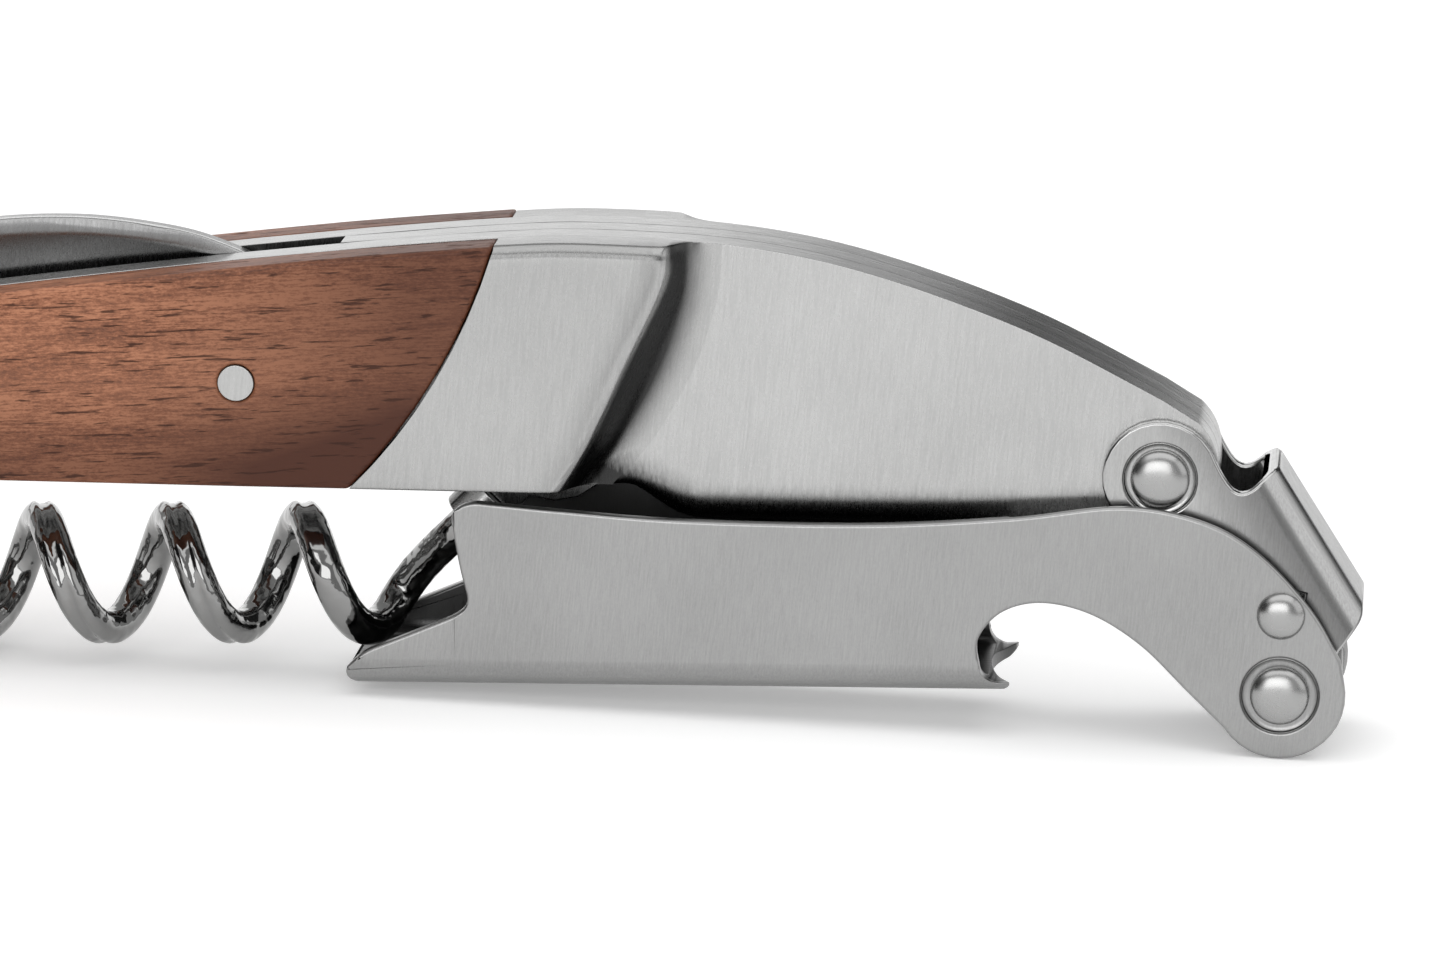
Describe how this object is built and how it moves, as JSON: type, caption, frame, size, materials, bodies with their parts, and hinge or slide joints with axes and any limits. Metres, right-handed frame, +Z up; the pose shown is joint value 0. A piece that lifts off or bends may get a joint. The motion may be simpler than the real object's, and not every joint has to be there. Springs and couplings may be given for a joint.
{
  "type": "waiters corkscrew",
  "caption": "Folding waiter's corkscrew: wood-scaled steel frame, worm on a hub, hinged foil knife, and a link with a two-step lever that also lifts crown caps.",
  "frame": {"origin": "middle of the base, on the surface that the folded tool stands on", "axes": "+X along the handle towards the head, +Y across the tool from the front side to the rear side, +Z up from the worm to the spine"},
  "size_m": [0.1176, 0.0128, 0.0292],
  "materials": {
    "frame_steel": "fine satin brushing across the tool, ground spine",
    "bolster_steel": "fine vertical satin brushing with a dark polished bevel",
    "scale_wood": "reddish-brown open-pored hardwood, satin, grain along the handle",
    "pin_steel": "ground flush",
    "blade_steel": "fine cross grinding, polished spine",
    "polished_steel": "mirror polish",
    "lever_steel": "fine vertical satin brushing, softened edges"
  },
  "bodies": {
    "handle": {"front_frame_plate": "frame_steel", "centre_frame_plate": "frame_steel", "rear_frame_plate": "frame_steel", "front_bolster": "bolster_steel", "rear_bolster": "bolster_steel", "front_scale": "scale_wood", "rear_scale": "scale_wood", "scale_pin_middle": "pin_steel", "scale_pin_tail": "pin_steel", "knife_pivot_pin": "pin_steel", "bolster_pin_upper": "pin_steel", "bolster_pin_lower": "pin_steel", "worm_pivot_pin": "pin_steel"},
    "link": {"link": "polished_steel", "link_pivot_rivet": "polished_steel"},
    "lever": {"lever": "lever_steel", "lever_pivot_rivet": "polished_steel", "lever_stop_pin": "polished_steel"},
    "knife": {"knife_blade": "blade_steel"},
    "worm": {"worm_spiral": "polished_steel", "worm_hub": "frame_steel"}
  },
  "joints": [
    {"name": "link_swing", "type": "hinge", "parent": "handle", "child": "link", "pos_m": [0.04615, 0, 0.01653], "axis": [0, -1, 0], "range_deg": [0, 98]},
    {"name": "lever_swing", "type": "hinge", "parent": "link", "child": "lever", "pos_m": [0.05408, 0, 0.00395], "axis": [0, -1, 0], "range_deg": [0, 118]},
    {"name": "knife_swing", "type": "hinge", "parent": "handle", "child": "knife", "pos_m": [-0.05337, 0, 0.01511], "axis": [0, -1, 0], "range_deg": [0, 178]},
    {"name": "worm_swing", "type": "hinge", "parent": "handle", "child": "worm", "pos_m": [0.00915, 0, 0.01595], "axis": [0, -1, 0], "range_deg": [0, 90]}
  ],
  "couplings": [
    {"joint": "worm_swing", "follows": "link_swing", "ratio": 0.9}
  ]
}
